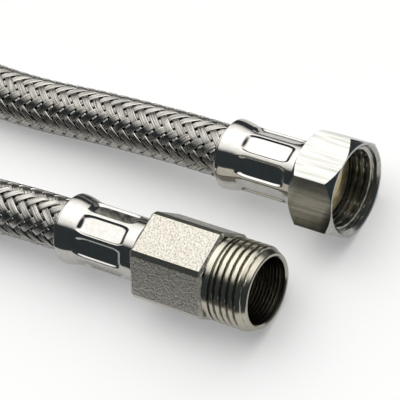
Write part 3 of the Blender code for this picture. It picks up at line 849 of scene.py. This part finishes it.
def barbs(shoulder_x):
    """The barbed stem's (x, radius) points, from its shoulder to its tip."""
    first = shoulder_x - 1.5 * MM
    points = [(shoulder_x, STEM_R)]
    for i in range(BARBS):
        x = first - i * BARB_PITCH
        points += [(x, STEM_R), (x - 0.1 * MM, BARB_R), (x - BARB_SLOPE, STEM_R)]
    tip = first - BARBS * BARB_PITCH - 1.6 * MM
    return points + [(tip + 0.8 * MM, STEM_R), (tip, TAIL_BORE_R + 0.2 * MM)], tip


# %% [markdown]
# ## The male nipple
# The nipple is turned from hexagon bar. Its profile runs from the mouth over the long lead-in
# of the thread, a groove, a plain band and the hexagon's place to the stem, and back through
# the bore, which a drill left with fine rings. Close rows of points wait for the helix.

# %% Profile of the nipple
HEX_LENGTH = 20.35 * MM
MALE_THREAD_R = 10.45 * MM
TURNED_BAND = 1.6 * MM  # the plain band behind the thread
TURNED_BAND_R = MALE_THREAD_R - 0.05 * MM
BAND_GROOVE = 0.4 * MM
GROOVE_R = MALE_THREAD_R - 0.9 * MM
THREADED = MALE_THREAD_LENGTH - TURNED_BAND - BAND_GROOVE
LEAD_IN = 2.4 * MM
ROWS_A_PITCH = 22
END_FACE_R = 9.25 * MM
BORE_R = 8.3 * MM
BORE_DEPTH = 22.5 * MM
DRILL_TIP = radians(59)  # half of its angle
BORE_RING = 0.9 * MM
BORE_RING_RISE = 0.035 * MM
hex_back = HEX_FRONT - HEX_LENGTH


def nipple_profile():
    """The turned nipple's (x, radius) points, once round the cut."""
    mouth = MALE_MOUTH.x
    profile = [(mouth, BORE_R + 0.3 * MM), (mouth, END_FACE_R - 0.1 * MM), (mouth - 0.08 * MM, END_FACE_R)]
    for i in range(1, int((THREADED - 0.1 * MM) / (PITCH / ROWS_A_PITCH))):
        x = mouth - 0.08 * MM - i * PITCH / ROWS_A_PITCH
        share = min((mouth - x) / LEAD_IN, 1)
        profile.append((x, END_FACE_R + (MALE_THREAD_R - END_FACE_R) * share))
    band = HEX_FRONT + TURNED_BAND
    profile += [(band + BAND_GROOVE, GROOVE_R), (band, GROOVE_R)]
    profile += [(band - 0.06 * MM, TURNED_BAND_R - 0.06 * MM), (band - 0.15 * MM, TURNED_BAND_R)]
    profile += [(HEX_FRONT + 0.2 * MM, TURNED_BAND_R), (HEX_FRONT + 0.12 * MM, TURNED_BAND_R - 0.2 * MM)]
    profile += [(HEX_FRONT - 0.1 * MM, TURNED_BAND_R - 0.2 * MM), (HEX_FRONT - MM, MALE_THREAD_R - 1.5 * MM)]
    shoulder = MALE_FERRULE_END - COLLAR_LAP
    stem, tip = barbs(shoulder)
    profile += [(hex_back + MM, COLLAR_R), (shoulder, COLLAR_R), *stem]
    cone_end = mouth - BORE_DEPTH - (BORE_R - TAIL_BORE_R) / tan(DRILL_TIP)
    profile += [(tip, TAIL_BORE_R), (cone_end, TAIL_BORE_R), (mouth - BORE_DEPTH, BORE_R)]
    for i in range(23, 1, -1):
        x = mouth - BORE_RING * i
        profile += [(x - 0.12 * MM, BORE_R), (x, BORE_R - BORE_RING_RISE), (x + 0.12 * MM, BORE_R)]
    return profile + [(mouth - 0.35 * MM, BORE_R)]


# %% [markdown]
# ### The hexagon
# The bar's six flats stay, and its edges are taken off in narrow bands by a bevel. A cone, cut
# with an Intersect Boolean, takes the corners off both ends. The bar is hollowed, so that it
# fits over the turned body like a ring, and a Union joins the two.

# %% Hexagon and nipple
HEX_AF = 21 * MM
HEX_BAND = 1.4 * MM
HEX_CHAMFER_R = 11.55 * MM
HEX_ENVELOPE_R = 13 * MM
NIPPLE_STEPS = 168


def hexagon_bar(name, centre, across_flats, front, back):
    """A hexagonal bar along X with one flat up."""
    bpy.ops.object.select_all(action="DESELECT")
    bpy.ops.mesh.primitive_cylinder_add(
        vertices=6, radius=across_flats / sqrt(3), depth=front - back, rotation=(0, pi / 2, 0),
        location=((front + back) / 2, centre.y, centre.z),
    )
    bar = start_piece(name)
    bpy.ops.object.transform_apply(location=True, rotation=True, scale=True)
    return bar


def bevel_long_edges(bar, width):
    """Take off the six edges that run along the bar."""
    choose(bar)
    bpy.ops.object.mode_set(mode="EDIT")
    bpy.ops.mesh.select_all(action="DESELECT")
    bpy.ops.object.mode_set(mode="OBJECT")
    for edge in bar.data.edges:
        ends = [bar.data.vertices[v].co for v in edge.vertices]
        edge.select = abs(ends[0].x - ends[1].x) > MM
    bpy.ops.object.mode_set(mode="EDIT")
    bpy.ops.mesh.select_mode(type="EDGE")
    bpy.ops.mesh.bevel(offset=width / 2 / cos(radians(30)), offset_type="OFFSET", segments=1)
    bpy.ops.object.mode_set(mode="OBJECT")


def make_nipple():
    nipple = turned("nipple", nipple_profile(), MALE_MOUTH, NIPPLE_STEPS, closed=True)
    cut_thread(nipple, MALE_MOUTH, MALE_MOUTH.x, 0.3 * MM, THREADED, MALE_THREAD_R)
    bar = hexagon_bar("bar", MALE_MOUTH, HEX_AF, HEX_FRONT, hex_back)
    bevel_long_edges(bar, HEX_BAND)
    past_front, past_back = HEX_FRONT + MM, hex_back - MM
    envelope = [(past_front, 0), (past_front, HEX_CHAMFER_R - MM)]
    envelope += [(HEX_FRONT - HEX_ENVELOPE_R + HEX_CHAMFER_R, HEX_ENVELOPE_R)]
    envelope += [(past_back, HEX_ENVELOPE_R), (past_back, 0)]
    cut(bar, turned("envelope", envelope, MALE_MOUTH, TURN_STEPS), "INTERSECT")
    # the hollow's wall stays inside the turned body's metal
    hollow = [(past_front, 0), (past_front, 8.6 * MM), (past_back, 6.9 * MM), (past_back, 0)]
    cut(bar, turned("hole", hollow, MALE_MOUTH, 96))
    cut(nipple, bar, "UNION")
    finish_piece(nipple, speckled_nickel, "connector", "male_nipple", smooth=25)


make_nipple()

# %% [markdown]
# ## The swivel nut
# A nut is a slice of hexagon bar whose corners are turned off to a cone at both ends, so each
# flat ends in an arc. The mouth is countersunk, and the thread is cut behind it.

# %% Swivel nut
NUT_AF = 23 * MM
NUT_LENGTH = 11.8 * MM
NUT_RIM_R = 11.55 * MM
NUT_MOUTH_R = 11.0 * MM
NUT_BACK_WALL = 2.1 * MM
NUT_HOLE_R = 7.5 * MM
NUT_THREAD_R = 10.5 * MM
NUT_ENVELOPE_R = 14.5 * MM
NUT_ROWS_A_PITCH = 20
SEAT_DEPTH = 7.2 * MM


def make_nut():
    mouth = FEMALE_MOUTH.x
    back = mouth - NUT_LENGTH
    nut = hexagon_bar("nut", FEMALE_MOUTH, NUT_AF, mouth, back)
    fall = NUT_ENVELOPE_R - NUT_RIM_R
    envelope = [(mouth + MM, 0), (mouth + MM, NUT_RIM_R - MM)]
    envelope += [(mouth - fall, NUT_ENVELOPE_R), (back + fall, NUT_ENVELOPE_R)]
    envelope += [(back - MM, NUT_RIM_R - MM), (back - MM, 0)]
    cut(nut, turned("envelope", envelope, FEMALE_MOUTH, TURN_STEPS), "INTERSECT")
    crest = NUT_THREAD_R - THREAD_DEPTH
    bore = [(mouth + MM, 0), (mouth + MM, NUT_MOUTH_R + 0.9 * MM)]
    wall_top = back + NUT_BACK_WALL
    for i in range(int((NUT_LENGTH - NUT_BACK_WALL) / (PITCH / NUT_ROWS_A_PITCH))):
        behind = i * PITCH / NUT_ROWS_A_PITCH
        bore.append((mouth - behind, max(crest, NUT_MOUTH_R - behind)))
    bore += [(wall_top, crest), (wall_top, NUT_HOLE_R), (back - MM, NUT_HOLE_R), (back - MM, 0)]
    tool = turned("bore", bore, FEMALE_MOUTH, TURN_STEPS)
    cut_thread(tool, FEMALE_MOUTH, mouth, 0.2 * MM, SEAT_DEPTH, crest, inside=True)
    cut(nut, tool)
    finish_piece(nut, machined_nickel, "nut", "swivel_nut", smooth=28)


make_nut()

# %% [markdown]
# ## The brass tail
# Inside the nut sits the flange of the tail. Its flat rim is the seat for a washer, and a
# shallow recess leads to the bore.

# %% Brass tail
FLANGE_R = 8.8 * MM
RECESS_R = 6.4 * MM


def make_tail():
    seat = FEMALE_MOUTH.x - SEAT_DEPTH
    flange_back = FEMALE_MOUTH.x - NUT_LENGTH + NUT_BACK_WALL + 0.3 * MM
    shoulder = FEMALE_FERRULE_END - COLLAR_LAP
    stem, tip = barbs(shoulder)
    profile = [(seat, RECESS_R), (seat, FLANGE_R - 0.15 * MM), (seat - 0.15 * MM, FLANGE_R)]
    profile += [(flange_back, FLANGE_R), (flange_back, COLLAR_R), (shoulder, COLLAR_R), *stem]
    profile += [(tip, TAIL_BORE_R), (seat - (RECESS_R - TAIL_BORE_R) / 2, TAIL_BORE_R)]
    profile += [(seat - 1.1 * MM, RECESS_R - 1.6 * MM), (seat - 0.5 * MM, RECESS_R - 0.2 * MM)]
    tail = turned("brass_tail", profile, FEMALE_MOUTH, TURN_STEPS, closed=True)
    finish_piece(tail, turned_brass, "connector", "female_tail", smooth=30)


make_tail()

# %% [markdown]
# ## The studio
# Most of the light comes from one big soft box overhead, which bright metal shows as white on
# everything that faces up, and the room round it is dark, which gives the metal its dark
# bands. Both are painted on the world: a ramp goes from the box's middle to its rim and ends
# in the room, by the angle from the direction in which the box hangs.

# %% Light and room
SOFTBOX_MIDDLE = Vector((-0.203, 0.405, 0.892))
SOFTBOX = 2.9  # strength
SOFTBOX_RIM = radians(43)
SOFTBOX_END = radians(53)
ROOM = (0.054, 0.067, 0.075)


def make_world():
    """A round soft light, brightest in its middle, in a dark room."""
    world = bpy.data.worlds.new("studio")
    bpy.context.scene.world = world
    world.use_nodes = True
    tree = world.node_tree
    texture = add_node(tree, "TexCoord")
    inputs = {0: texture.outputs["Generated"], 1: SOFTBOX_MIDDLE}
    toward = add_node(tree, "VectorMath", inputs, operation="DOT_PRODUCT")
    ramp = add_node(tree, "ValToRGB", {"Fac": toward.outputs["Value"]})
    ramp.color_ramp.elements[0].position = cos(SOFTBOX_END)
    ramp.color_ramp.elements[0].color = (*(v / SOFTBOX for v in ROOM), 1)
    rim = ramp.color_ramp.elements.new(cos(SOFTBOX_RIM))
    rim.color = (0.55, 0.545, 0.53, 1)
    ramp.color_ramp.elements[2].position = 1
    ramp.color_ramp.elements[2].color = (1, 1, 0.99, 1)
    background = tree.nodes["Background"]
    tree.links.new(ramp.outputs["Color"], background.inputs["Color"])
    background.inputs["Strength"].default_value = SOFTBOX


make_world()

# %% [markdown]
# ### The white card
# The card is only a little larger than the picture, so metal that faces sideways sees the dark
# room past its edges. A share of plain white is mixed into the card for the camera and for
# mirrors, which makes it near white and keeps the soft shadow.

# %% White card
CARD_WHITE = 0.3
SHEET_CORNER_LOW = Vector((-0.27, -0.080, 0))
SHEET_CORNER_HIGH = Vector((0.085, 0.088, 0))


def make_card():
    """A sheet of white card under the connector."""
    bpy.ops.object.select_all(action="DESELECT")
    middle = (SHEET_CORNER_LOW + SHEET_CORNER_HIGH) / 2
    bpy.ops.mesh.primitive_plane_add(size=1, location=middle)
    card = start_piece("white_card")
    bpy.ops.transform.resize(value=SHEET_CORNER_HIGH - SHEET_CORNER_LOW + Vector((0, 0, 1)))
    bpy.ops.object.transform_apply(location=True, rotation=True, scale=True)
    material, tree, shader = new_material("white_card")
    shader.inputs["Base Color"].default_value = linear("#f4f4f4")
    shader.inputs["Roughness"].default_value = 0.9
    shader.inputs["Specular IOR Level"].default_value = 0
    path = add_node(tree, "LightPath")
    inputs = {0: path.outputs["Is Camera Ray"], 1: path.outputs["Is Glossy Ray"]}
    seen = add_node(tree, "Math", inputs, operation="ADD")
    inputs = {0: seen.outputs["Value"], 1: path.outputs["Is Transmission Ray"]}
    seen = add_node(tree, "Math", inputs, operation="ADD")
    share = add_node(tree, "Math", {0: seen.outputs["Value"], 1: CARD_WHITE}, operation="MULTIPLY")
    white = add_node(tree, "Emission", {"Color": (1, 1, 1, 1), "Strength": 1.0})
    inputs = {0: share.outputs["Value"], 1: shader.outputs["BSDF"], 2: white.outputs["Emission"]}
    mix = add_node(tree, "MixShader", inputs)
    tree.links.new(mix.outputs["Shader"], tree.nodes["Material Output"].inputs["Surface"])
    card.data.materials.append(material)


make_card()
